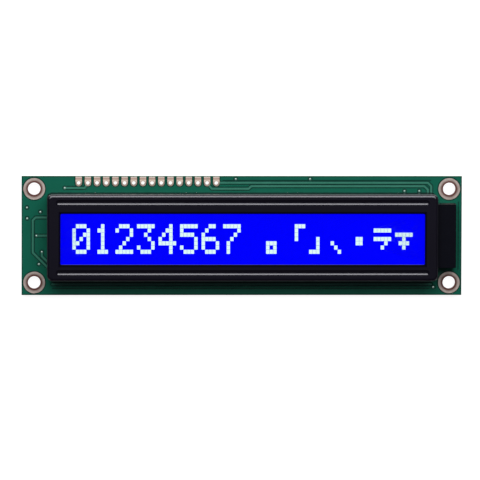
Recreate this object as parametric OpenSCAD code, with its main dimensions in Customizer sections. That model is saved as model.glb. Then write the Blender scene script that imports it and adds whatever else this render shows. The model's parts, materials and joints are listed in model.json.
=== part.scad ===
// Character LCD module: one row of large dot-matrix characters in a folded steel
// bezel on a circuit board, with a side-lit backlight behind the glass.
// X runs along the row of characters, Y toward the row of header pads and Z out of
// the display. The origin is midway between the four mounting holes, on the back face
// of the board.

/* [Circuit board] */
// Length of the circuit board
board_l = 122; // [105:0.5:140]
// Width of the circuit board
board_w = 33; // [29.5:0.5:38]
// Thickness of the circuit board
board_t = 1.6; // [1:0.1:2.4]
// Thickness of the copper, the plating and the ink
copper_t = 0.05; // [0.03:0.01:0.1]
// Diameter of a mounting hole
hole_d = 3.5; // [2.5:0.1:4]
// Diameter of the plated ring round a mounting hole
ring_d = 6; // [5:0.1:7]
// Bare board between a ring and the board's edges, and between a ring and the bezel
ring_edge = 0.5; // [0.3:0.05:1]
// Width of the bare board along each long side of the bezel
side_margin = 4.5; // [4:0.1:6]

/* [Header pads] */
// Number of plated holes in the header row
pin_count = 16; // [2:1:16]
// Distance between two header holes
pin_pitch = 2.54; // [2:0.01:2.54]
// Distance from the board's left edge to the first header hole
pin_start = 15.8; // [15:0.1:17]
// Distance from the board's upper edge to the header holes
pin_inset = 1.9; // [1.6:0.1:2.1]
// Diameter of a header hole
pin_hole_d = 1; // [0.8:0.05:1.2]
// Width of a header pad
pad_w = 1.75; // [1.5:0.05:1.9]
// Gap between a header pad and the board's upper edge
pad_edge_gap = 0.1; // [0.05:0.05:0.3]

/* [Tracks] */
// Width of a thin copper track
track_w = 0.55; // [0.3:0.05:0.7]
// Bare strip between a track and the copper beside it
track_gap = 0.3; // [0.2:0.05:0.4]
// Diameter of a via's hole
via_d = 0.35; // [0.2:0.05:0.6]
// Diameter of a via's pad
via_pad_d = 0.75; // [0.7:0.05:1.2]
// Distance from the board's upper edge to the first bus track
bus_inset = 1.8; // [1.6:0.05:2]
// Distance between the two bus tracks where they run side by side
bus_pitch = 0.95; // [0.8:0.05:1.1]
// Distance from the board's lower edge to the long return track
return_inset = 3; // [2.6:0.1:3.4]
// Unit of the grid that places the vias and the short tracks
grid = 1; // [0.9:0.02:1.1]

/* [Bezel] */
// Height of the bezel's face above the front of the board
bezel_h = 8.8; // [8.3:0.1:11]
// Thickness of the bezel's sheet
sheet_t = 0.5; // [0.4:0.05:0.6]
// Radius of the bezel's corners, seen from the front
bezel_corner_r = 1.5; // [1.2:0.1:2]
// Radius of the fold between the bezel's face and its walls
fold_r = 0.8; // [0.7:0.05:1]
// Width of the open seams at the bezel's corners
seam_w = 0.25; // [0.1:0.05:0.4]
// Height of unslit metal above a corner seam
seam_top = 2; // [1.6:0.1:3]

/* [Bezel window] */
// Width of the bezel's face at each end of the window
frame_end = 3.7; // [3.2:0.1:6]
// Width of the bezel's face along the window, on average of the two long sides
frame_side = 4.95; // [4.6:0.05:6]
// Distance of the window's middle below the bezel's middle
window_drop = 0.4; // [0:0.1:0.5]
// Radius of the window's corners
window_r = 0.4; // [0.2:0.1:1]
// Size of the bevel round the window
window_bevel = 0.3; // [0.1:0.05:0.35]

/* [Bezel grooves] */
// Radius of the punch that presses a stiffening groove
groove_r = 0.9; // [0.8:0.05:1]
// Depth of a stiffening groove
groove_depth = 0.45; // [0.3:0.05:0.55]
// Distance from the bezel's long side to the middle of a groove
groove_inset = 2.3; // [2.2:0.1:2.4]
// Distance from the bezel's end to the end of a groove
groove_end_inset = 2.4; // [2.2:0.1:6]

/* [Bezel tabs] */
// Number of twist tabs on each long side of the bezel
tab_count = 4; // [2:1:4]
// Distance from the bezel's ends to the middle of the last twist tabs
tab_inset = 12; // [11:0.5:20]
// Width of a twist tab
tab_w = 2.6; // [2:0.1:3]
// Reach of a twist tab below the board
tab_reach = 1.8; // [1.6:0.1:2.4]
// Length of a tab that takes the twist
tab_twist_l = 0.8; // [0.6:0.1:1]
// Angle of the twist in a tab
tab_twist = 42; // [20:1:60]
// Clearance between a tab and its slot in the board
slot_clear = 0.15; // [0.1:0.05:0.25]
// Width of the relief cut on each side of a tab
relief_w = 0.4; // [0.2:0.1:0.6]
// Height of the relief cut on each side of a tab
relief_h = 0.5; // [0.3:0.1:0.8]

/* [Glass cell] */
// Thickness of each sheet of glass
glass_t = 1.1; // [0.7:0.1:1.1]
// Clearance between the front glass and the bezel's end walls
glass_end_clear = 0.8; // [0.6:0.1:1.2]
// Clearance between the front glass and the bezel's side walls
glass_side_clear = 0.5; // [0.4:0.05:0.6]
// Width of the contact ledge along each side of the front glass
ledge_w = 2.4; // [2.2:0.1:2.5]
// Space between the two sheets of glass
cell_t = 0.1; // [0.06:0.01:0.15]
// Distance from the rear glass's edge to the seal
seal_inset = 0.3; // [0.2:0.05:0.4]
// Width of the seal
seal_w = 0.8; // [0.5:0.1:0.9]
// Width of the filling port in the seal
port_w = 3; // [2:0.5:4]
// Height of the resin bead that closes the filling port
plug_h = 0.5; // [0.3:0.05:0.55]
// Thickness of each polarizer film
film_t = 0.2; // [0.1:0.05:0.2]
// Distance that the polarizers lie behind the edge of the window
film_overlap = 0.6; // [0.3:0.1:0.8]

/* [Characters] */
// Distance from the window's ends to the first and the last character
text_margin = 3.3; // [1:0.1:6]
// Distance between two dots along X
dot_pitch_x = 0.98; // [0.94:0.01:1.05]
// Distance between two dots along Y
dot_pitch_y = 1.18; // [1.14:0.01:1.3]
// Clear line between two dots
dot_gap = 0.06; // [0.03:0.01:0.1]

/* [Contact strips] */
// Width of a rubber contact strip
strip_w = 1.6; // [1.2:0.1:1.7]
// Distance from the front glass's end to the end of a contact strip
strip_end_inset = 2.2; // [1:0.2:6]
// Distance between two contact fingers on the board
finger_pitch = 2; // [1.8:0.1:2.4]
// Width of a contact finger
finger_w = 0.9; // [0.5:0.1:1.2]

/* [Backlight] */
// Clearance between the backlight's tray and the upper contact strip
tray_side_clear = 0.4; // [0.2:0.05:0.8]
// Thickness of the tray's walls
tray_wall = 0.5; // [0.4:0.1:0.8]
// Offset of the backlight toward the header row
tray_y = 0.3; // [0.2:0.05:0.35]
// Distance from the bezel's end wall to the tray's closed end
tray_end_clear = 1.3; // [0.6:0.1:3]
// Thickness of the light guide
guide_t = 3.4; // [2.5:0.1:3.6]
// Thickness of the diffuser sheet and of the reflector sheet
sheet_film_t = 0.2; // [0.1:0.05:0.3]
// Number of lamps in the light bar
led_count = 5; // [3:1:7]
// Depth of a lamp
led_depth = 0.8; // [0.6:0.1:1]
// Thickness of the light bar's circuit board
bar_t = 0.8; // [0.6:0.1:1]

/* [Light shield] */
// Distance that the light shield stands out of the bezel's end
shield_out = 5.1; // [4.8:0.1:5.5]
// Thickness of the light shield
shield_t = 0.5; // [0.3:0.05:0.6]
// Gap between the light shield and the glass
shield_gap = 0.3; // [0.2:0.05:0.4]
// Clearance between the light shield and the opening in the bezel's end
notch_clear = 0.25; // [0.15:0.05:0.4]

/* [Backlight leads] */
// Diameter of a backlight lead
lead_d = 0.6; // [0.4:0.05:0.8]
// Distance between the two backlight leads
lead_pitch = 10; // [6:0.5:12]
// Reach of a lead below the board
lead_reach = 1.1; // [0.9:0.1:1.3]
// Diameter of a solder fillet at its foot
solder_d = 1.8; // [1.5:0.1:2.2]
// Height of a solder fillet
solder_h = 0.8; // [0.5:0.1:0.8]

/* [Back of the board] */
// Diameter of the resin blob over a chip
blob_d = 13; // [10:0.5:15]
// Height of the resin blob over a chip
blob_h = 1.3; // [0.9:0.1:1.4]
// Distance of the controller blob left of the board's middle
controller_offset = 24; // [21:0.5:26]
// Distance of the driver blob right of the board's middle
driver_offset = 22; // [20:0.5:26]
// Distance of both blobs below the board's middle
blob_drop = 0.5; // [0:0.1:1.5]
// Number of chip resistors in the bias ladder
ladder_count = 5; // [2:1:5]
// Distance between two resistors of the ladder
ladder_pitch = 3.6; // [3.4:0.1:3.8]
// Length of a chip resistor
chip_l = 2; // [1.6:0.1:2.2]
// Width of a chip resistor
chip_w = 1.25; // [0.8:0.05:1.4]
// Height of a chip resistor
chip_t = 0.55; // [0.4:0.05:0.7]
// Length of the metal cap on a chip's end
chip_cap_l = 0.35; // [0.2:0.05:0.5]
// Height of a chip capacitor
capacitor_t = 0.9; // [0.6:0.05:1.2]
// Width of a signal track on the back
signal_w = 0.3; // [0.2:0.05:0.4]
// Width of a line of the printed outlines
ink_w = 0.2; // [0.15:0.05:0.3]

/* [Hidden] */
$fn = 48;

// Lit dots of the sixteen characters, row by row from the top.
GLYPHS = [
  ["01110", "10001", "10011", "10101", "11001", "10001", "01110"],
  ["00100", "01100", "00100", "00100", "00100", "00100", "01110"],
  ["01110", "10001", "00001", "00010", "00100", "01000", "11111"],
  ["11111", "00010", "00100", "00010", "00001", "10001", "01110"],
  ["00010", "00110", "01010", "10010", "11111", "00010", "00010"],
  ["11111", "10000", "11110", "00001", "00001", "10001", "01110"],
  ["00110", "01000", "10000", "11110", "10001", "10001", "01110"],
  ["11111", "00001", "00010", "00100", "01000", "01000", "01000"],
  [],
  ["", "", "", "", "11100", "10100", "11100"],
  ["00111", "00100", "00100", "00100"],
  ["", "", "", "00100", "00100", "00100", "11100"],
  ["", "", "", "", "10000", "01000", "00100"],
  ["", "", "", "01100", "01100"],
  ["", "11111", "00000", "11111", "00010", "00100"],
  ["", "", "11111", "00100", "01110", "00100"]
];
GLYPH_COLUMNS = 5;
GLYPH_ROWS = 7;

// Bezel, within the margins of bare board
end_margin = ring_d + 2 * ring_edge;
bezel_l = board_l - 2 * end_margin;
bezel_w = board_w - 2 * side_margin;
window_l = bezel_l - 2 * frame_end;
window_w = bezel_w - 2 * frame_side;
window_y = -window_drop;

// Mounting holes, midway in the margins at the bezel's ends
hole_inset = end_margin / 2;
hole_x = board_l / 2 - hole_inset;
hole_y = board_w / 2 - hole_inset;

// Header row
pin_x = -board_l / 2 + pin_start;
pin_y = board_w / 2 - pin_inset;
pin_end_x = pin_x + (pin_count - 1) * pin_pitch;

// Heights, from the face of the bezel down to the board
face_z = board_t + bezel_h;
glass_top_z = face_z - groove_depth - sheet_t;
cell_z = glass_top_z - glass_t - cell_t;
rear_z = cell_z - glass_t;
tray_top_z = rear_z - film_t;
guide_top_z = tray_top_z - sheet_film_t;
guide_z = guide_top_z - guide_t;
tray_floor_z = guide_z - sheet_film_t;
finger_top_z = board_t + copper_t;

// Glass cell
glass_l = bezel_l - 2 * (sheet_t + glass_end_clear);
glass_w = bezel_w - 2 * (sheet_t + glass_side_clear);
rear_w = glass_w - 2 * ledge_w;
field_l = glass_l - 2 * (seal_inset + seal_w);
field_w = rear_w - 2 * (seal_inset + seal_w);
film_l = window_l + 2 * film_overlap;
film_w = window_w + 2 * film_overlap;
strip_y = (glass_w - ledge_w) / 2;
strip_l = glass_l - 2 * strip_end_inset;

// Characters, spread between the window's ends
char_w = GLYPH_COLUMNS * dot_pitch_x - dot_gap;
char_pitch = (window_l - 2 * text_margin - char_w) / (len(GLYPHS) - 1);

// Backlight, from its closed end on the left to the light shield on the right
tray_w = 2 * (strip_y - strip_w / 2 - tray_side_clear - tray_y);
tray_x0 = -bezel_l / 2 + sheet_t + tray_end_clear;
shield_x1 = bezel_l / 2 + shield_out;
shield_x0 = glass_l / 2 + shield_gap;
shield_w = tray_w + 2 * shield_t;
shield_top_z = guide_top_z + shield_t;
tray_x1 = shield_x1 - shield_t;
pocket_x0 = tray_x0 + tray_wall;
pocket_x1 = tray_x1 - tray_wall;
pocket_w = tray_w - 2 * tray_wall;
bar_x0 = pocket_x1 - bar_t;
guide_x1 = bar_x0 - led_depth;
lead_x = bar_x0 + bar_t / 2;

// Bezel
tab_y = (bezel_w - sheet_t) / 2;
groove_y = bezel_w / 2 - groove_inset;
groove_z = face_z + groove_r - groove_depth;
groove_half_w = sqrt(groove_r ^ 2 - (groove_r - groove_depth) ^ 2);
groove_half_l = bezel_l / 2 - groove_end_inset - groove_half_w;

// Resin blobs on the back
controller_x = -controller_offset;
driver_x = driver_offset;
blob_y = -blob_drop;

// Places of the chips on the back: the bias ladder, the clock resistor above it and
// the two capacitors left of the controller
ladder_x = (controller_x + driver_x - (ladder_count - 1) * ladder_pitch) / 2;
ladder_y = blob_y - 7 * grid;
clock_y = blob_y + 6.5 * grid;
CHIP_PLACES = [
  for (i = [0:ladder_count - 1]) [ladder_x + i * ladder_pitch, ladder_y],
  [(controller_x + driver_x) / 2, clock_y]
];
CAPACITOR_PLACES = [
  for (y = [-5.5, 2.5]) [controller_x - 12 * grid, blob_y + y * grid]
];

// X of twist tab number i.
tab_pitch = (bezel_l - 2 * tab_inset) / (tab_count - 1);
function tab_x(i) = (i - (tab_count - 1) / 2) * tab_pitch;

// Points of the board, counted in grid units inward from two of its edges.
function top_left(x, y) = [-board_l / 2 + x * grid, board_w / 2 - y * grid];
function bottom_left(x, y) = [-board_l / 2 + x * grid, -board_w / 2 + y * grid];

// Two bus tracks leave the last two header pads, run side by side and turn down under
// the bezel's right end. The lower one passes below the last pad first.
bus_y = board_w / 2 - bus_inset;
bus_low_y = pin_y - pad_w / 2 - track_gap - track_w / 2 - pad_edge_gap;
bus_x = bezel_l / 2 - bezel_corner_r;
BUS_TRACKS = [
  [[pin_end_x, bus_y], [bus_x - bus_pitch, bus_y], [bus_x, bus_y - bus_pitch], [bus_x, 0]],
  [
    [pin_end_x - pin_pitch, pin_y],
    [pin_end_x - pin_pitch / 2, bus_low_y],
    [pin_end_x + 9 * grid, bus_low_y],
    [pin_end_x + 9.7 * grid, bus_y - bus_pitch],
    [bus_x - 2 * bus_pitch, bus_y - bus_pitch],
    [bus_x - bus_pitch, bus_y - 2 * bus_pitch],
    [bus_x - bus_pitch, 0]
  ]
];

// Short tracks left of the bezel, a link to the second header pad and the long return
// track below the bezel.
under_bezel_x = -bezel_l / 2 + bezel_corner_r;
link_via = [pin_x - 3.85 * grid, board_w / 2 - 3.25 * grid];
return_y = -board_w / 2 + return_inset;
left_via = top_left(4.1, 0);
SHORT_TRACKS = [
  [link_via, [pin_x + pin_pitch - 0.9 * grid, link_via[1]], [pin_x + pin_pitch, pin_y]],
  [[under_bezel_x, return_y], [bezel_l / 2 - bezel_corner_r, return_y]],
  [
    [under_bezel_x, top_left(0, 11.45)[1]], top_left(3.9, 11.45), top_left(3.1, 12.25),
    bottom_left(3.1, 11.8), bottom_left(9, 5.9)
  ],
  [[left_via[0], 0], [under_bezel_x, 0]],
  [bottom_left(5.6, 12), bottom_left(5.6, 10.8), bottom_left(9, 7.4)]
];
VIAS = [
  link_via, top_left(1.5, 8.7), top_left(1.55, 11.7), top_left(5.2, 9.9), [left_via[0], 0],
  bottom_left(5.6, 12), bottom_left(4.8, 8.6),
  for (x = [5.4, 26]) [pin_end_x + x * grid, board_w / 2 - 0.75 * grid],
  for (x = [1.8, 5.9]) [
    tab_x(tab_count - 1) + tab_w / 2 + x * grid, bezel_w / 2 + via_pad_d / 2 + 0.05 * grid
  ],
  [bezel_l / 2 - 0.8 * grid, -board_w / 2 + 2.2 * grid]
];

// ---- Shared shapes ----

// Repeats its children at the four corners of a rectangle.
module at_corners(x, y) {
  for (sx = [-1, 1], sy = [-1, 1]) translate([sx * x, sy * y]) children();
}

// Flat rectangle with round corners, centred.
module round_rect(l, w, r) {
  square([l, w - 2 * r], center = true);
  square([l - 2 * r, w], center = true);
  at_corners(l / 2 - r, w / 2 - r) circle(r = r);
}

// Block that spans x0 to x1, is centred on y and spans z0 to z1.
module block(x0, x1, y, w, z0, z1) {
  translate([x0, y - w / 2, z0]) cube([x1 - x0, w, z1 - z0]);
}

// Flat strip of width w with round ends along a list of points.
module strip(path, w) {
  for (i = [0:len(path) - 2]) {
    step = path[i + 1] - path[i];
    if (norm(step) > 0.01)
      translate(path[i]) rotate(atan2(step[1], step[0]))
        translate([0, -w / 2]) square([norm(step), w]);
  }
  for (p = path) translate(p) circle(d = w, $fn = 24);
}

// Ring of square section round the Z axis.
module ring(r0, r1, z0, z1) {
  rotate_extrude() translate([r0, z0]) square([r1 - r0, z1 - z0]);
}

// Plated hole through the board, with a flange on each face.
module plated_hole(r, flange_r) {
  rotate_extrude() {
    translate([r, -copper_t]) square([copper_t, board_t + 2 * copper_t]);
    for (z = [-copper_t, board_t]) translate([r, z]) square([flange_r - r, copper_t]);
  }
}

// Resin blob that hangs from the back of the board: a flat disc with a round edge.
module blob(d, h) {
  mirror([0, 0, 1]) rotate_extrude() {
    square([d / 2 - h, h]);
    translate([d / 2 - h, 0]) intersection() {
      circle(r = h);
      square(h);
    }
  }
}

// ---- Circuit board ----

module board_outline() {
  square([board_l, board_w], center = true);
}

module bezel_outline() {
  round_rect(bezel_l, bezel_w, bezel_corner_r);
}

module shield_outline() {
  translate([shield_x0, tray_y - shield_w / 2]) square([shield_x1 - shield_x0, shield_w]);
}

module at_pins() {
  for (i = [0:pin_count - 1]) translate([pin_x + i * pin_pitch, pin_y]) children();
}

module at_tabs() {
  for (i = [0:tab_count - 1], side = [-1, 1]) translate([tab_x(i), side * tab_y]) children();
}

module at_leads() {
  for (side = [-1, 1]) translate([lead_x, tray_y + side * lead_pitch / 2]) children();
}

module printed_circuit_board() {
  color([0.02, 0.3, 0.21])
    linear_extrude(board_t) difference() {
      board_outline();
      at_corners(hole_x, hole_y) circle(d = hole_d + 2 * copper_t);
      at_pins() circle(d = pin_hole_d + 2 * copper_t);
      for (p = VIAS) translate(p) circle(d = via_d + 2 * copper_t);
      at_tabs() square([tab_w + 2 * slot_clear, sheet_t + 2 * slot_clear], center = true);
      at_leads() circle(d = lead_d);
    }
}

module mounting_rings() {
  color([0.5, 0.44, 0.4])
    at_corners(hole_x, hole_y) plated_hole(hole_d / 2, ring_d / 2);
}

// Outline of one header pad: straight sides from near the board's edge down to a
// round end about the hole.
module pad_outline(extra) {
  circle(d = pad_w + 2 * extra);
  translate([-pad_w / 2 - extra, 0])
    square([pad_w + 2 * extra, pin_inset - pad_edge_gap + extra]);
}

module header_pads() {
  color([0.76, 0.72, 0.66])
    at_pins() difference() {
      union() {
        cylinder(d = pin_hole_d + 2 * copper_t, h = board_t);
        for (z = [-copper_t, board_t]) translate([0, 0, z])
          linear_extrude(copper_t) pad_outline(0);
      }
      translate([0, 0, -1]) cylinder(d = pin_hole_d, h = board_t + 2);
    }
}

module vias() {
  color([0.55, 0.68, 0.6])
    for (p = VIAS) translate(p) plated_hole(via_d / 2, via_pad_d / 2);
}

// Keeps the board's copper clear of the rings, the pads, the vias and what covers it.
module clear_of_parts(extra) {
  at_corners(hole_x, hole_y) circle(d = ring_d + 2 * extra);
  at_pins() pad_outline(extra);
  for (p = VIAS) translate(p) circle(d = via_pad_d + 2 * extra, $fn = 24);
}

module all_tracks(w) {
  for (path = concat(BUS_TRACKS, SHORT_TRACKS)) strip(path, w);
}

module front_tracks() {
  color([0.18, 0.47, 0.37])
    translate([0, 0, board_t]) linear_extrude(copper_t) difference() {
      all_tracks(track_w);
      clear_of_parts(0);
      bezel_outline();
      shield_outline();
    }
}

// Copper plane of the front: cut free of the tracks, the pads and the holes, with a
// straight cut above the bus, one below the return track and one along the right end.
module front_pour() {
  edge = 0.25 * grid;
  cut_x0 = pin_end_x + pad_w;
  stripe_y = board_w / 2 - 1.3 * grid;
  low_y = return_y - 1.3 * grid;
  end_x = board_l / 2 - 1.1 * grid;
  end_h = 2 * (hole_y - ring_d / 2 - ring_edge);
  color([0.09, 0.39, 0.3])
    translate([0, 0, board_t]) linear_extrude(copper_t) difference() {
      square([board_l - 2 * edge, board_w - 2 * edge], center = true);
      all_tracks(track_w + 2 * track_gap);
      clear_of_parts(track_gap);
      bezel_outline();
      shield_outline();
      translate([cut_x0, stripe_y]) square([bus_x - cut_x0, track_gap]);
      translate([under_bezel_x, low_y]) square([2 * bus_x, track_gap]);
      translate([end_x, -end_h / 2]) square([track_gap, end_h]);
    }
}

// Contact fingers of the board, one row under each contact strip.
module contact_fingers() {
  count = floor(strip_l / finger_pitch);
  finger_l = strip_w + 0.2;
  color([0.85, 0.68, 0.35])
    for (i = [0:count - 1], side = [-1, 1])
      translate([(i - (count - 1) / 2) * finger_pitch, side * strip_y, finger_top_z - copper_t / 2])
        cube([finger_w, finger_l, copper_t], center = true);
}

// ---- Bezel ----

// Corner post of a box: a vertical round whose upper edge is rounded too.
module box_corner(r, edge_r, h) {
  rotate_extrude() {
    square([r, h - edge_r]);
    square([r - edge_r, h]);
    translate([r - edge_r, h - edge_r]) intersection() {
      circle(r = edge_r);
      square(edge_r);
    }
  }
}

// Section across a box with rounded upper edges.
module box_section(w, edge_r, h) {
  translate([-w / 2, 0]) square([w, h - edge_r]);
  translate([-w / 2 + edge_r, 0]) square([w - 2 * edge_r, h]);
  for (side = [-1, 1]) translate([side * (w / 2 - edge_r), h - edge_r]) circle(r = edge_r);
}

// Box that stands on z = 0, with round corners and rounded upper edges.
module soft_box(l, w, h, r, edge_r) {
  at_corners(l / 2 - r, w / 2 - r) box_corner(r, edge_r, h);
  rotate([90, 0, 90]) translate([0, 0, -l / 2 + r])
    linear_extrude(l - 2 * r) box_section(w, edge_r, h);
  rotate([90, 0, 0]) translate([0, 0, -w / 2 + r])
    linear_extrude(w - 2 * r) box_section(l, edge_r, h);
}

// Round bar with ball ends along X: the shape of the punch that presses a groove.
module groove_bar(r) {
  rotate([0, 90, 0]) cylinder(r = r, h = 2 * groove_half_l, center = true);
  for (end = [-1, 1]) translate([end * groove_half_l, 0, 0]) sphere(r = r);
}

module at_grooves() {
  for (side = [-1, 1]) translate([0, side * groove_y, groove_z]) children();
}

// Section of the bevelled window across one of its two directions.
module bevel_section(w) {
  top = window_bevel + 1;
  polygon([[-w / 2, 0], [w / 2, 0], [w / 2 + top, top], [-w / 2 - top, top]]);
}

// Opening of the window: a straight hole and a bevel that opens it toward the face.
module window_cut() {
  translate([0, window_y, face_z - sheet_t - 1])
    linear_extrude(sheet_t + 2) round_rect(window_l, window_w, window_r);
  translate([0, window_y, face_z - window_bevel]) intersection() {
    rotate([90, 0, 0]) translate([0, 0, -bezel_w / 2])
      linear_extrude(bezel_w) bevel_section(window_l);
    rotate([90, 0, 90]) translate([0, 0, -bezel_l / 2])
      linear_extrude(bezel_l) bevel_section(window_w);
  }
}

// Twist tab: a straight root through the board, a twisted neck and a turned tip.
module tab() {
  straight = tab_reach - tab_twist_l;
  translate([-tab_w / 2, -sheet_t / 2, 0]) cube([tab_w, sheet_t, board_t + relief_h]);
  translate([0, 0, -tab_twist_l]) mirror([0, 0, 1]) rotate(-tab_twist)
    linear_extrude(straight) square([tab_w, sheet_t], center = true);
  mirror([0, 0, 1])
    linear_extrude(tab_twist_l, twist = tab_twist, slices = 6, segments = 1, $fn = 0)
      square([tab_w, sheet_t], center = true);
}

module bezel() {
  color([0.07, 0.065, 0.1]) {
    difference() {
      translate([0, 0, board_t]) difference() {
        soft_box(bezel_l, bezel_w, bezel_h, bezel_corner_r, fold_r);
        translate([0, 0, -1])
          soft_box(bezel_l - 2 * sheet_t, bezel_w - 2 * sheet_t, bezel_h - sheet_t + 1,
            bezel_corner_r - sheet_t, fold_r - sheet_t);
      }
      at_grooves() groove_bar(groove_r);
      window_cut();
      // seams at the corners
      for (sx = [-1, 1], sy = [-1, 1])
        translate([sx * (bezel_l / 2 - bezel_corner_r), sy * (bezel_w / 2 - bezel_corner_r), board_t - 1])
          rotate(atan2(sy, sx)) translate([0, -seam_w / 2, 0])
            cube([2 * bezel_corner_r, seam_w, bezel_h - seam_top + 1]);
      // opening for the lit end of the backlight
      translate([bezel_l / 2 - 2 * sheet_t, tray_y - shield_w / 2 - notch_clear, board_t - 1])
        cube([3 * sheet_t, shield_w + 2 * notch_clear, shield_top_z + notch_clear - board_t + 1]);
      // relief cuts beside the tabs
      at_tabs() for (side = [-1, 1]) translate([side * (tab_w + relief_w) / 2, 0, board_t])
        cube([relief_w, 2 * sheet_t, 2 * relief_h], center = true);
    }
    at_grooves() difference() {
      intersection() {
        groove_bar(groove_r + sheet_t);
        translate([0, 0, -groove_r - sheet_t])
          cube([bezel_l, 4 * groove_r, 2 * (groove_depth + sheet_t / 2)], center = true);
      }
      groove_bar(groove_r);
    }
    at_tabs() tab();
  }
}

// ---- Glass cell ----

module front_polarizer() {
  color([0.25, 0.35, 0.9, 0.25])
    block(-film_l / 2, film_l / 2, window_y, film_w, glass_top_z, glass_top_z + film_t);
}

module front_glass() {
  color([0.75, 0.85, 1, 0.3])
    block(-glass_l / 2, glass_l / 2, 0, glass_w, glass_top_z - glass_t, glass_top_z);
}

module cell_seal() {
  color([0.3, 0.3, 0.34])
    translate([0, 0, cell_z]) linear_extrude(cell_t) difference() {
      square([glass_l - 2 * seal_inset, rear_w - 2 * seal_inset], center = true);
      square([field_l, field_w], center = true);
      translate([-glass_l / 2, -port_w / 2]) square([seal_inset + seal_w + 0.1, port_w]);
    }
}

// Resin that fills the port and stands as a small bead on the glass's end.
module fill_plug() {
  bead_r = glass_t;
  ball_r = (bead_r ^ 2 + plug_h ^ 2) / (2 * plug_h);
  color([0.8, 0.78, 0.6]) {
    translate([-glass_l / 2, -port_w / 2, cell_z]) cube([seal_inset + seal_w, port_w, cell_t]);
    intersection() {
      translate([-glass_l / 2 + ball_r - plug_h, 0, cell_z + cell_t / 2]) sphere(r = ball_r);
      translate([-glass_l / 2 - plug_h, -port_w, cell_z - bead_r])
        cube([plug_h, 2 * port_w, 2 * bead_r + cell_t]);
    }
  }
}

// Dots that the characters light up.
module dots() {
  left = -(len(GLYPHS) - 1) * char_pitch / 2;
  for (n = [0:len(GLYPHS) - 1], row = [0:1:len(GLYPHS[n]) - 1], col = [0:1:len(GLYPHS[n][row]) - 1])
    if (GLYPHS[n][row][col] == "1")
      translate([
        left + n * char_pitch + (col - (GLYPH_COLUMNS - 1) / 2) * dot_pitch_x,
        window_y + ((GLYPH_ROWS - 1) / 2 - row) * dot_pitch_y
      ]) square([dot_pitch_x - dot_gap, dot_pitch_y - dot_gap], center = true);
}

module liquid_crystal() {
  color([0.02, 0.02, 0.95])
    translate([0, 0, cell_z]) linear_extrude(cell_t) difference() {
      square([field_l, field_w], center = true);
      dots();
    }
}

module lit_dots() {
  color([0.93, 0.98, 1])
    translate([0, 0, cell_z]) linear_extrude(cell_t) dots();
}

module rear_glass() {
  color([0.75, 0.85, 1, 0.3])
    block(-glass_l / 2, glass_l / 2, 0, rear_w, rear_z, cell_z);
}

module rear_polarizer() {
  color([0.5, 0.55, 0.8])
    block(-film_l / 2, film_l / 2, window_y, film_w, tray_top_z, rear_z);
}

// Rubber strip that joins the glass's contacts to the fingers on the board.
module contact_strip(y) {
  color([0.75, 0.72, 0.7])
    block(-strip_l / 2, strip_l / 2, y, strip_w, finger_top_z, glass_top_z - glass_t);
}

module contact_strip_top() {
  contact_strip(strip_y);
}

module contact_strip_bottom() {
  contact_strip(-strip_y);
}

// ---- Backlight ----

module diffuser_sheet() {
  color([0.96, 0.96, 0.95])
    block(pocket_x0, shield_x0, tray_y, pocket_w, guide_top_z, tray_top_z);
}

module light_guide() {
  color([0.85, 0.9, 0.95])
    block(pocket_x0, guide_x1, tray_y, pocket_w, guide_z, guide_top_z);
}

module reflector_sheet() {
  color([0.97, 0.97, 0.97])
    block(pocket_x0, guide_x1, tray_y, pocket_w, tray_floor_z, guide_z);
}

module backlight_tray() {
  color([0.93, 0.93, 0.9])
    difference() {
      union() {
        block(tray_x0, shield_x0, tray_y, tray_w, board_t, tray_top_z);
        block(tray_x0, tray_x1, tray_y, tray_w, board_t, guide_top_z);
      }
      block(pocket_x0, pocket_x1, tray_y, pocket_w, tray_floor_z, tray_top_z + 1);
      at_leads() cylinder(d = lead_d, h = tray_floor_z + 1);
    }
}

module light_bar() {
  color([0.9, 0.9, 0.82])
    block(bar_x0, pocket_x1, tray_y, pocket_w, tray_floor_z, guide_top_z);
}

// Lamps on the light bar, facing the end of the light guide.
module lamp_chips() {
  lamp_h = 1.2;
  lamp_gap = 0.6;
  lamp_pitch = pocket_w / led_count;
  middle_z = guide_z + guide_t / 2;
  color([0.97, 0.94, 0.7])
    for (i = [0:led_count - 1])
      block(guide_x1, bar_x0, tray_y + (i - (led_count - 1) / 2) * lamp_pitch,
        lamp_pitch - lamp_gap, middle_z - lamp_h / 2, middle_z + lamp_h / 2);
}

// Black cap over the lit end of the backlight.
module light_shield() {
  color([0.06, 0.06, 0.09])
    difference() {
      block(shield_x0, shield_x1, tray_y, shield_w, board_t, shield_top_z);
      block(shield_x0 - 1, tray_x1, tray_y, tray_w, board_t - 1, guide_top_z);
    }
}

module backlight_leads() {
  color([0.8, 0.8, 0.8])
    at_leads() translate([0, 0, -lead_reach]) cylinder(d = lead_d, h = tray_floor_z + lead_reach);
}

module lead_solder() {
  color([0.78, 0.78, 0.8])
    at_leads() rotate_extrude() polygon([
      [lead_d / 2, -copper_t], [solder_d / 2, -copper_t],
      [1.3 * lead_d / 2, -solder_h], [lead_d / 2, -solder_h]
    ]);
}

// ---- Back of the board ----

module controller_blob() {
  color([0.05, 0.05, 0.05])
    translate([controller_x, blob_y, -copper_t]) blob(blob_d, blob_h);
}

module driver_blob() {
  color([0.05, 0.05, 0.05])
    translate([driver_x, blob_y, -copper_t]) blob(blob_d, blob_h);
}

module chip_bodies(places, t) {
  for (p = places) translate([p[0], p[1], -copper_t - t / 2])
    cube([chip_l - 2 * chip_cap_l, chip_w, t], center = true);
}

module chip_caps(places, t) {
  for (p = places, side = [-1, 1])
    translate([p[0] + side * (chip_l - chip_cap_l) / 2, p[1], -copper_t - t / 2])
      cube([chip_cap_l, chip_w, t], center = true);
}

module chip_resistors() {
  color([0.12, 0.12, 0.13]) chip_bodies(CHIP_PLACES, chip_t);
}

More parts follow.
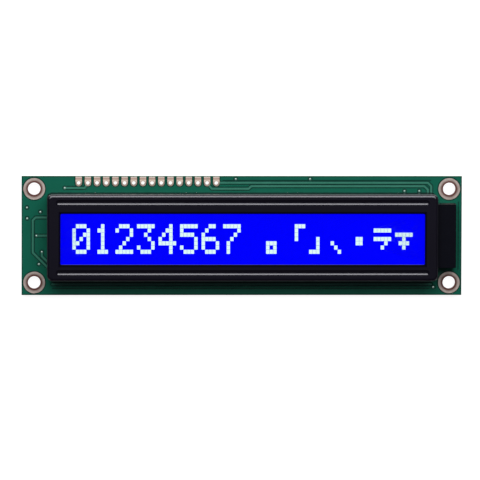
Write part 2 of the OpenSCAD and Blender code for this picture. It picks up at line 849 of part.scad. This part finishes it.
module resistor_caps() {
  color([0.8, 0.8, 0.82]) chip_caps(CHIP_PLACES, chip_t);
}

module chip_capacitors() {
  color([0.68, 0.52, 0.36]) chip_bodies(CAPACITOR_PLACES, capacitor_t);
}

module capacitor_caps() {
  color([0.8, 0.8, 0.82]) chip_caps(CAPACITOR_PLACES, capacitor_t);
}

// Solder lands under the two ends of each chip.
module chip_lands(places) {
  fillet = 0.3 * grid;
  for (p = places, side = [-1, 1])
    translate([p[0] + side * (chip_l - chip_cap_l + fillet) / 2, p[1]])
      square([chip_cap_l + 2 * fillet, chip_w + fillet], center = true);
}

// Signal tracks of the back: from the header to the controller, from there to the
// driver, and along the bias ladder. The further a header track runs sideways, the
// lower it turns, so that no two cross.
module signal_tracks() {
  first_pin = 2;
  last_pin = min(pin_count, 12) - 1;
  fan_pitch = 1.2 * grid;
  for (i = [first_pin:1:last_pin]) {
    from_x = pin_x + i * pin_pitch;
    fan_x = controller_x + (i - (first_pin + last_pin) / 2) * fan_pitch;
    turn_y = tab_y - 1.2 * grid - 0.4 * abs(fan_x - from_x);
    strip([[from_x, pin_y], [from_x, turn_y], [fan_x, turn_y], [fan_x, blob_y + 2 * grid]], signal_w);
  }
  for (i = [-2:2])
    strip([[controller_x, blob_y + i * grid], [driver_x, blob_y + i * grid]], signal_w);
  strip([
    [ladder_x - ladder_pitch, ladder_y],
    [ladder_x + ladder_count * ladder_pitch, ladder_y]
  ], signal_w);
}

module back_copper_outline() {
  frame_w = 1.4 * grid;
  edge = 0.4 * grid;
  difference() {
    union() {
      difference() {
        signal_tracks();
        for (p = CHIP_PLACES) translate(p) square([chip_l, chip_w], center = true);
      }
      chip_lands(concat(CHIP_PLACES, CAPACITOR_PLACES));
      at_leads() circle(d = solder_d + 0.6 * grid);
      for (x = [controller_x, driver_x]) translate([x, blob_y]) circle(d = blob_d + 0.6 * grid);
      difference() {
        square([board_l - 2 * edge, board_w - 2 * edge], center = true);
        square([board_l - 2 * (edge + frame_w), board_w - 2 * (edge + frame_w)], center = true);
        at_corners(hole_x, hole_y) circle(d = ring_d + 2 * track_gap);
        translate([pin_x - pad_w, pin_y - pad_w]) square([pin_end_x - pin_x + 2 * pad_w, 3 * pad_w]);
        for (p = VIAS) translate(p) circle(d = via_pad_d + 2 * track_gap, $fn = 24);
      }
    }
    at_pins() pad_outline(0);
    at_corners(hole_x, hole_y) circle(d = ring_d);
    for (p = VIAS) translate(p) circle(d = via_pad_d, $fn = 24);
    at_tabs() square([tab_w + 2 * slot_clear, sheet_t + 2 * slot_clear], center = true);
    at_leads() circle(d = lead_d);
  }
}

module back_copper() {
  color([0.1, 0.42, 0.32])
    translate([0, 0, -copper_t]) linear_extrude(copper_t) back_copper_outline();
}

// Printed outlines round the blobs and the chips.
module silkscreen_back() {
  margin = 0.7 * grid;
  color([0.95, 0.95, 0.93])
    translate([0, 0, -copper_t]) linear_extrude(copper_t) difference() {
      union() {
        for (x = [controller_x, driver_x]) translate([x, blob_y]) difference() {
          circle(d = blob_d + 2 * margin + 2 * ink_w);
          circle(d = blob_d + 2 * margin);
        }
        for (p = concat(CHIP_PLACES, CAPACITOR_PLACES)) translate(p) difference() {
          square([chip_l + 2 * margin + 2 * ink_w, chip_w + margin + 2 * ink_w], center = true);
          square([chip_l + 2 * margin, chip_w + margin], center = true);
        }
      }
      back_copper_outline();
    }
}

printed_circuit_board();
front_pour();
front_tracks();
back_copper();
mounting_rings();
header_pads();
vias();
contact_fingers();
bezel();
front_polarizer();
front_glass();
cell_seal();
fill_plug();
liquid_crystal();
lit_dots();
rear_glass();
rear_polarizer();
contact_strip_top();
contact_strip_bottom();
diffuser_sheet();
light_guide();
reflector_sheet();
backlight_tray();
light_bar();
lamp_chips();
light_shield();
backlight_leads();
lead_solder();
controller_blob();
driver_blob();
chip_resistors();
resistor_caps();
chip_capacitors();
capacitor_caps();
silkscreen_back();
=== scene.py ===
import json

import bpy
import numpy as np
from mathutils import Matrix, Vector


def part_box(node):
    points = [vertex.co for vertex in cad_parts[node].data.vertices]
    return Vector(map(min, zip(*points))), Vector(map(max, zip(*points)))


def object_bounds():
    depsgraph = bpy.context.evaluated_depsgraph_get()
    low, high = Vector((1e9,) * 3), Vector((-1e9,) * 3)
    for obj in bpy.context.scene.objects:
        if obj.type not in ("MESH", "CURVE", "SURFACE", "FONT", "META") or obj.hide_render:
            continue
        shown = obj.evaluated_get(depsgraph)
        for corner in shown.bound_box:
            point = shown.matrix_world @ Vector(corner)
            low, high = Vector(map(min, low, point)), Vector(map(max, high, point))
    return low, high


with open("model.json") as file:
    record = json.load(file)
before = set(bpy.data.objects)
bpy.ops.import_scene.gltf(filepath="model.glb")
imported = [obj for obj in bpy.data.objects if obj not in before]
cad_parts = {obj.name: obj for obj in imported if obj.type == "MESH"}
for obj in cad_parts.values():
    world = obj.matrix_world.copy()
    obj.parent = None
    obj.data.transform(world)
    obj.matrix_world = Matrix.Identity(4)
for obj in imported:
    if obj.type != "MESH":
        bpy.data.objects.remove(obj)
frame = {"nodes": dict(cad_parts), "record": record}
cad_low, cad_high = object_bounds()
nodes = frame["nodes"]


# ---- Circuit board ----
# Glass-fibre laminate, 1.6 mm thick, sawn to size and covered with green solder mask.
# Its faces are even and glossy, and its sawn edges show the paler laminate.


def linear(red, green, blue):
    """Scene colour of a display colour given in steps of 0 to 255, by the sRGB curve:
    a power of 2.4 above a short straight start."""
    parts = np.array([red, green, blue]) / 255
    curve = np.where(parts > 0.04045, ((parts + 0.055) / 1.055) ** 2.4, parts / 12.92)
    return (*curve.tolist(), 1.0)


class Wire:
    """An output of a shader node. Arithmetic on it adds Math nodes."""

    def __init__(self, finish, socket):
        self.finish = finish
        self.socket = socket

    def __add__(self, other):
        return self.finish.maths("ADD", self, other)

    def __radd__(self, other):
        return self.finish.maths("ADD", other, self)

    def __sub__(self, other):
        return self.finish.maths("SUBTRACT", self, other)

    def __rsub__(self, other):
        return self.finish.maths("SUBTRACT", other, self)

    def __mul__(self, other):
        return self.finish.maths("MULTIPLY", self, other)

    def __rmul__(self, other):
        return self.finish.maths("MULTIPLY", other, self)

    def __abs__(self):
        return self.finish.maths("ABSOLUTE", self)

    def larger(self, other):
        """The larger of two values at each point."""
        return self.finish.maths("MAXIMUM", self, other)

    def smooth(self, start, end):
        """Rises from 0 to 1 as the value goes from start to end: 3 t squared less 2 t cubed."""
        settings = {"interpolation_type": "SMOOTHSTEP"}
        return self.finish.node("ShaderNodeMapRange", settings, {0: self, 1: start, 2: end})


class Finish:
    """A material round one Principled shader, whose even values are set on its sockets."""

    def __init__(self, name, **even):
        self.material = bpy.data.materials.new(name)
        self.material.use_nodes = True
        self.tree = self.material.node_tree
        self.shader = self.tree.nodes["Principled BSDF"]
        for word, value in even.items():
            label = word.replace("_", " ").title().replace("Ior", "IOR")
            self.shader.inputs[label].default_value = value

    def node(self, kind, settings, inputs, output=0):
        """Adds a node: settings first, then the value or the wire of each socket."""
        made = self.tree.nodes.new(kind)
        stops = settings.get("stops", [])
        for name, value in settings.items():
            if name != "stops":
                setattr(made, name, value)
        for place, (position, colour) in enumerate(stops):
            ramp = made.color_ramp.elements
            stop = ramp[place] if place < len(ramp) else ramp.new(position)
            stop.position = position
            stop.color = colour
        for key, value in inputs.items():
            if isinstance(value, Wire):
                self.tree.links.new(value.socket, made.inputs[key])
            else:
                made.inputs[key].default_value = value
        return Wire(self, made.outputs[output])

    def maths(self, operation, *terms):
        """One Math node on values or wires."""
        return self.node("ShaderNodeMath", {"operation": operation}, dict(enumerate(terms)))

    def place(self):
        """Position on the object, in metres."""
        return self.node("ShaderNodeTexCoord", {}, {}, output="Object")

    def axis(self, name):
        """One coordinate of the position on the object."""
        return self.node("ShaderNodeSeparateXYZ", {}, {0: self.place()}, output=name)

    def noise(self, size, detail=2.0, stretch=(1.0, 1.0, 1.0)):
        """Cloudy value from 0 to 1: noise of the position divided by size, so that its
        patches are about size metres across, and shorter where stretch is above 1."""
        point = self.node("ShaderNodeMapping", {}, {"Vector": self.place(), "Scale": stretch})
        inputs = {"Vector": point, "Scale": 1 / size, "Detail": detail}
        return self.node("ShaderNodeTexNoise", {}, inputs)

    def blend(self, share, first, second):
        """Colour that goes from the first to the second as share goes from 0 to 1."""
        settings = {"data_type": "RGBA"}
        return self.node("ShaderNodeMix", settings, {0: share, 6: first, 7: second}, output=2)

    def drive(self, label, wire):
        """Feeds one socket of the shader with a value that varies."""
        self.tree.links.new(wire.socket, self.shader.inputs[label])

    def tint(self, size, first, second, label="Base Color"):
        """Feeds a colour socket with clouds of the given size between two display colours."""
        self.drive(label, self.blend(self.noise(size), linear(*first), linear(*second)))

    def grain(self, size, depth, detail=2.0):
        """Bump whose height is depth metres times clouds of the given size."""
        inputs = {"Distance": depth, "Strength": 1.0, "Height": self.noise(size, detail)}
        self.drive("Normal", self.node("ShaderNodeBump", {}, inputs))

    def wear(self, *names):
        """Gives the finish to the CAD nodes of these names."""
        for name in names:
            mesh = nodes[name].data
            if not mesh.materials:
                mesh.materials.append(None)
            for slot in nodes[name].material_slots:
                slot.material = self.material


board_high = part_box("printed_circuit_board")[1]
mask = Finish("solder_mask", specular_ior_level=0.2)
mask_green = mask.blend(mask.noise(0.006), linear(0, 42, 32), linear(0, 52, 40))
weave = mask.noise(0.0004, 1.0, (1.0, 1.0, 6.0))
laminate = mask.blend(weave, linear(38, 98, 70), linear(86, 132, 88))

# The mask ends between 0.04 and 0.01 mm inside the sawn faces.
mask_end, bare_start = 4e-5, 1e-5
sawn_ends = abs(mask.axis("X")).smooth(board_high.x - mask_end, board_high.x - bare_start)
sawn_sides = abs(mask.axis("Y")).smooth(board_high.y - mask_end, board_high.y - bare_start)
sawn = sawn_ends.larger(sawn_sides)
mask.drive("Base Color", mask.blend(sawn, mask_green, laminate))
mask.drive("Roughness", 0.3 + sawn * 0.45)
mask.grain(0.0012, 2e-6)
mask.wear("printed_circuit_board")


# ---- Copper plane and tracks ----
# Etched copper, 0.05 mm thick with its coat of solder mask. Mask over copper looks a
# lighter green than mask over bare laminate, and the thin tracks look lightest.

plane = Finish("mask_over_copper", roughness=0.3, specular_ior_level=0.2)
plane.tint(0.005, (2, 78, 58), (8, 87, 66))
plane.grain(0.0008, 3e-6)
plane.wear("front_pour", "back_copper")

track = Finish("mask_over_track", roughness=0.3, specular_ior_level=0.45)
track.tint(0.003, (30, 98, 76), (46, 112, 90))
track.grain(0.0006, 3e-6)
track.wear("front_tracks")


# ---- Plated holes ----
# Copper pads and barrels with a dip of tin: bright on the header pads, dull and reddish
# round the mounting holes, where it is thin and handled. The vias are covered by the
# mask, and the fingers under the contact strips are plated with gold.

# Over the header pads, from the board's upper edge to 2 mm below it, runs painted reflection
# and shade of the domed tin: pale, then a dark band, then pale again.
painted_band_depth = 0.002
tin = Finish("tinned_pad", metallic=0.55)
patch = tin.noise(0.0009, 3.0)
sheen_and_shade_stops = [
    (0.1, linear(206, 198, 184)),
    (0.35, linear(150, 118, 98)),
    (0.6, linear(212, 198, 176)),
    (1.0, linear(128, 116, 98)),
]
from_edge = (board_high.y - tin.axis("Y")) * (1 / painted_band_depth)
# Painted highlight and painted shade, set by the distance from the board's upper edge.
painted_sheen_bands = tin.node("ShaderNodeValToRGB", {"stops": sheen_and_shade_stops}, {0: from_edge})
tin.drive("Base Color", tin.blend(patch * 0.4, painted_sheen_bands, linear(226, 196, 176)))
tin.drive("Roughness", 0.34 + patch * 0.18)
tin.grain(0.0006, 8e-6)
tin.wear("header_pads")

# The vias are mask green, made paler by a painted highlight: the sheen of the mask domed over
# each hole.
via_painted_sheen = Finish("via_with_painted_sheen", roughness=0.6, specular_ior_level=0.1)
via_painted_sheen.tint(0.003, (30, 86, 70), (96, 142, 122))
via_painted_sheen.wear("vias")

# Bare copper shows in the bore of each mounting hole, and tin covers it further out.
holes = frame["record"]["mounts"][0]["dims"]
hole_x, hole_y = holes["spacing_x_mm"] / 2000, holes["spacing_y_mm"] / 2000
bare_end, tin_start = 0.0019, 0.0027
ring = Finish("dull_ring", metallic=0.85)
stain = ring.noise(0.0016, 4.0)
from_x = abs(ring.axis("X")) - hole_x
from_y = abs(ring.axis("Y")) - hole_y
radius = ring.maths("SQRT", from_x * from_x + from_y * from_y)
dull_tin = ring.blend(stain, linear(150, 134, 120), linear(200, 190, 178))
tinned = radius.smooth(bare_end, tin_start)
ring.drive("Base Color", ring.blend(tinned, linear(92, 52, 44), dull_tin))
ring.drive("Roughness", 0.36 + stain * 0.22)
ring.grain(0.0005, 1e-5)
ring.wear("mounting_rings")

gold = Finish("gold_finger", metallic=1.0)
gold.tint(0.001, (206, 160, 84), (226, 186, 110))
gold.drive("Roughness", 0.25 + gold.noise(0.0005) * 0.15)
gold.wear("contact_fingers")


# ---- Bezel ----
# Half-millimetre steel sheet, pierced, pressed and folded into a box, then painted
# glossy black, which is duller where the paint is thin: on the window's cut edge, the
# folds and the walls. Eight twisted tabs hold it to the board.

paint = Finish("black_paint", specular_ior_level=0.05, coat_roughness=0.17, coat_ior=1.55)
paint.tint(0.01, (3, 2, 10), (6, 4, 16))

# The thin paint round the window ends 0.8 mm inside the ends of the crystal layer, and
# 7.6 mm above and below the window's middle.
crystal_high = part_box("liquid_crystal")[1]
thin_inset, thin_half_height, thin_fade = 0.0008, 0.0076, 0.0002
window_y = -0.0004
past_x = abs(paint.axis("X")) - (crystal_high.x - thin_inset)
past_y = abs(paint.axis("Y") - window_y) - thin_half_height
cut_edge = 1 - past_x.larger(past_y).smooth(0.0, thin_fade)

# The folds of both ends and of the lower side, from 0.7 to 0.3 mm inside the walls.
bezel_x, bezel_y = 0.054, 0.012
fold_start, fold_end = 0.0007, 0.0003
end_folds = abs(paint.axis("X")).smooth(bezel_x - fold_start, bezel_x - fold_end)
lower_fold = (paint.axis("Y") * -1).smooth(bezel_y - fold_start, bezel_y - fold_end)
folds = end_folds.larger(lower_fold)

# The walls of all four sides, which grow dull from 0.6 to 1.6 mm below the face.
wall_start, wall_end = 0.0006, 0.0016
wall_dullness, fold_dullness = 0.7, 0.9
wall = (cad_high.z - paint.axis("Z")).smooth(wall_start, wall_end)
box_sides = (folds * (1 - wall * (1 - wall_dullness))).larger(wall * wall_dullness)
dull = cut_edge.larger(box_sides * fold_dullness)
paint.drive("Roughness", 0.33 + dull * 0.5 + paint.noise(0.004) * 0.04)
paint.drive("Coat Weight", 1 - dull)
paint.wear("bezel")


# ---- Glass cell ----
# Two sheets of float glass with a sealed layer of liquid crystal between them, and a
# polarizer film on each side. The layer looks deep blue, and white where a dot is lit.

film = Finish("front_film", roughness=0.3, alpha=0.02, specular_ior_level=0.2)
film.tint(0.02, (0, 0, 70), (4, 4, 96))
film.wear("front_polarizer")

glass = Finish("float_glass", roughness=0.05, alpha=0.02, specular_ior_level=0.2)
glass.tint(0.02, (0, 0, 60), (0, 4, 84))
glass.wear("front_glass", "rear_glass")

under_glass = {
    "roughness": 0.6,
    "specular_ior_level": 0.0,
    "coat_weight": 0.2,
    "coat_roughness": 0.05,
}
field = Finish("blue_field", emission_strength=1.06, **under_glass)
glow = field.noise(0.03, 1.0)
field.drive("Base Color", field.blend(glow, linear(0, 0, 40), linear(0, 0, 60)))
field.drive("Emission Color", field.blend(glow, linear(0, 0, 246), linear(0, 0, 255)))
field.wear("liquid_crystal")

dot = Finish("lit_dot", emission_strength=0.96, **under_glass)
dot.tint(0.004, (60, 70, 72), (76, 86, 88))
dot.tint(0.004, (214, 248, 246), (232, 255, 250), "Emission Color")
dot.wear("lit_dots")

seal = Finish("epoxy_seal", roughness=0.4)
seal.tint(0.002, (60, 60, 70), (82, 82, 92))
seal.wear("cell_seal")

resin = Finish("clear_resin", roughness=0.2, coat_weight=0.5)
resin.tint(0.001, (206, 198, 150), (222, 216, 176))
resin.wear("fill_plug")

rear_film = Finish("rear_film", roughness=0.35)
rear_film.tint(0.01, (120, 128, 170), (134, 142, 184))
rear_film.wear("rear_polarizer")


# ---- Contact strips ----
# Silicone rubber with layers of carbon across it, one strip under each ledge of the
# front glass. The layers carry the signals up from the fingers of the board.

# A wave texture repeats 20 / (2 pi) times its scale in each metre: here every 0.2 mm.
layer_scale = 1600.0
rubber = Finish("layered_rubber", roughness=0.7)
layer_inputs = {"Vector": rubber.place(), "Scale": layer_scale}
layers = rubber.node("ShaderNodeTexWave", {"bands_direction": "X"}, layer_inputs)
rubber.drive("Base Color", rubber.blend(layers, linear(70, 68, 68), linear(196, 190, 186)))
rubber.wear("contact_strip_top", "contact_strip_bottom")


# ---- Backlight ----
# A white moulded tray with a clear acrylic guide, lit from its right end by lamps on
# a narrow board. A black cap covers that end, which stands out of the bezel.

white = Finish("white_film", roughness=0.6)
white.tint(0.002, (236, 236, 234), (246, 246, 245))
white.wear("diffuser_sheet", "reflector_sheet")

moulded = Finish("white_moulding", roughness=0.5)
moulded.tint(0.004, (226, 226, 221), (236, 236, 232))
moulded.grain(0.0004, 4e-6)
moulded.wear("backlight_tray", "light_bar")

acrylic = Finish("clear_acrylic", roughness=0.12, coat_weight=0.4)
acrylic.tint(0.01, (206, 220, 232), (222, 232, 240))
acrylic.wear("light_guide")

lamp = Finish("phosphor", roughness=0.35, emission_strength=0.6)
lamp.tint(0.0008, (240, 222, 140), (250, 236, 170))
lamp.tint(0.0008, (230, 240, 255), (250, 252, 255), "Emission Color")
lamp.wear("lamp_chips")

cap = Finish("black_cap", roughness=0.35, specular_ior_level=0.1)
cap.tint(0.003, (1, 2, 8), (4, 5, 12))
cap.grain(0.0006, 5e-6)
cap.wear("light_shield")


# ---- Leads and solder ----
# Two tinned wires run from the light bar through the board, and a cone of solder holds
# each of them at the back. The chips' end caps have the same bright tin.

solder = Finish("solder", metallic=1.0)
solder.tint(0.0008, (176, 178, 182), (206, 207, 210))
solder.drive("Roughness", 0.22 + solder.noise(0.0005) * 0.2)
solder.grain(0.0005, 1e-5)
solder.wear("lead_solder", "backlight_leads", "resistor_caps", "capacitor_caps")


# ---- Parts on the back ----
# Two bare chips under black epoxy, poured in a printed ring and cured, and the chip
# resistors and capacitors that set the bias voltages and the clock.

epoxy = Finish("black_epoxy", coat_weight=0.3, coat_roughness=0.25)
epoxy.tint(0.003, (14, 14, 15), (26, 26, 28))
epoxy.drive("Roughness", 0.38 + epoxy.noise(0.002) * 0.2)
epoxy.grain(0.002, 6e-5, 4.0)
epoxy.wear("controller_blob", "driver_blob")

glaze = Finish("black_glaze", roughness=0.3)
glaze.tint(0.0006, (22, 22, 25), (34, 34, 38))
glaze.wear("chip_resistors")

tan = Finish("tan_ceramic", roughness=0.45)
tan.tint(0.0006, (168, 132, 92), (188, 152, 110))
tan.wear("chip_capacitors")

ink = Finish("white_ink", roughness=0.55)
ink.tint(0.0004, (218, 220, 216), (240, 241, 238))
ink.wear("silkscreen_back")


# ---- Floor, lights and camera ----
# The module lies on a pale sheet. A long soft light stands beyond its upper edge and a
# weaker one nearly overhead, the room adds a faint light, and a long lens looks almost
# straight down.

scene = bpy.context.scene
scene.view_settings.view_transform = "Standard"


def grey(level):
    """Scene colour whose three parts are all the same."""
    return (level, level, level, 1.0)


floor_half = 2.0
floor_corners = [
    (x * floor_half, y * floor_half, cad_low.z) for x, y in ((-1, -1), (1, -1), (1, 1), (-1, 1))
]
floor_mesh = bpy.data.meshes.new("floor")
floor_mesh.from_pydata(floor_corners, [], [(0, 1, 2, 3)])
floor = bpy.data.objects.new("floor", floor_mesh)
scene.collection.objects.link(floor)
paper = Finish("pale_paper", roughness=0.9, specular_ior_level=0.1, emission_strength=0.95)
paper.drive("Base Color", paper.blend(paper.noise(0.05), grey(0.22), grey(0.25)))
paper.drive("Emission Color", paper.blend(paper.noise(0.05), grey(0.97), grey(1.0)))
floor_mesh.materials.append(paper.material)

middle = Vector(((cad_low.x + cad_high.x) / 2, (cad_low.y + cad_high.y) / 2, board_high.z))
cool_white = (0.94, 0.93, 1.0)


def soft_light(name, place, width, height, power):
    """Adds a rectangular light, in metres and watts, that faces the module's middle."""
    light = bpy.data.lights.new(name, "AREA")
    light.shape = "RECTANGLE"
    light.size = width
    light.size_y = height
    light.energy = power
    light.color = cool_white
    holder = bpy.data.objects.new(name, light)
    holder.location = middle + Vector(place)
    holder.rotation_mode = "QUATERNION"
    holder.rotation_quaternion = (-Vector(place)).to_track_quat("-Z", "Y")
    scene.collection.objects.link(holder)


soft_light("key", place=(0.0, 0.66, 0.66), width=1.2, height=0.55, power=14.0)
soft_light("overhead", place=(0.0, 0.28, 0.92), width=1.2, height=0.2, power=3.6)

world = bpy.data.worlds.new("room")
world.use_nodes = True
room_light = world.node_tree.nodes["Background"].inputs
room_light["Color"].default_value = (0.85, 0.82, 1.0, 1.0)
room_light["Strength"].default_value = 0.08
scene.world = world

# The lens stands 2 m away, and takes in 133 mm of the board's length and margins.
distance = 2.0
seen = 0.1330
lens = bpy.data.cameras.new("camera")
lens.sensor_width = 36.0
lens.lens = lens.sensor_width * distance / seen
lens.clip_start = 0.01
lens.clip_end = 10.0

# It leans toward the header and the left end, with the board's length kept level.
aim = middle + Vector((-0.0005, -0.0012, 0.0))
back = Vector((-0.034, 0.078, 1.0)).normalized()
up = back.cross(Vector((1.0, 0.0, 0.0))).normalized()
turn = Matrix((up.cross(back), up, back)).transposed().to_4x4()
camera = bpy.data.objects.new("camera", lens)
scene.collection.objects.link(camera)
camera.matrix_world = Matrix.Translation(aim + back * distance) @ turn
scene.camera = camera
